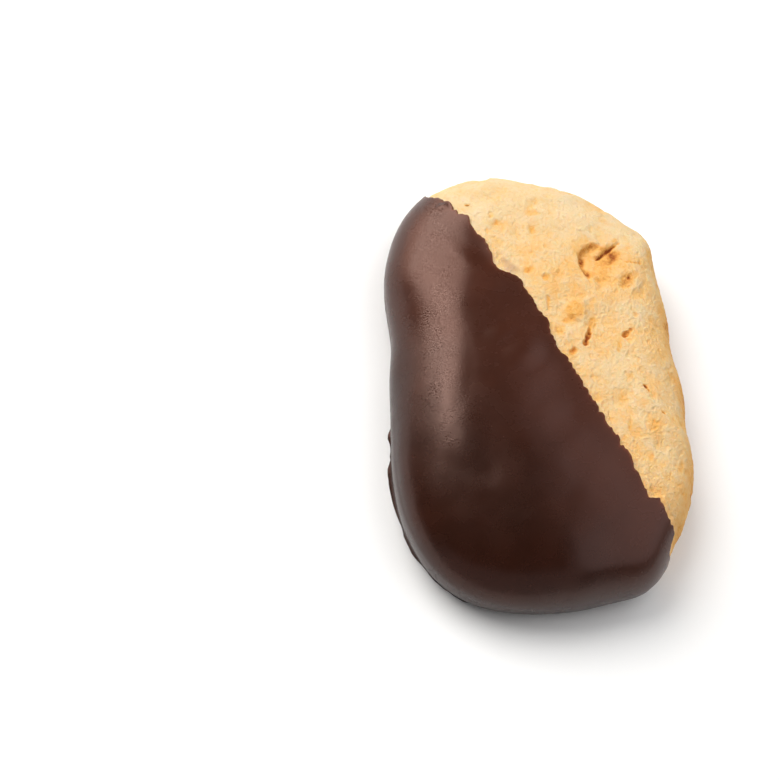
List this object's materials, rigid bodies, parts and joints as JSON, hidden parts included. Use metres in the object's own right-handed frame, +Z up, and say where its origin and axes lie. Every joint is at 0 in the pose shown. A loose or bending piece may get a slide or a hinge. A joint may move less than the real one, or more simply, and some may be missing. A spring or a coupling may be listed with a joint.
{
  "type": "chocolate-dipped shortbread",
  "caption": "Rounded, slightly waisted shortbread biscuit with a pitted golden crumb, dipped aslant so that dark chocolate wraps its top, sides and underside.",
  "frame": {"origin": "on the surface that the biscuit lies on, under the middle of its box", "axes": "+Z up through the biscuit's thickness, +Y along its length, and the dipped part towards -X and -Y"},
  "size_m": [0.0402, 0.0616, 0.0141],
  "materials": {
    "shortbread": "dry, granular baked crumb, pale gold with browner pits and edges",
    "chocolate": "set dark chocolate with a satin sheen"
  },
  "bodies": {
    "root": {"shortbread": "shortbread", "chocolate_coat": "chocolate"}
  },
  "joints": []
}
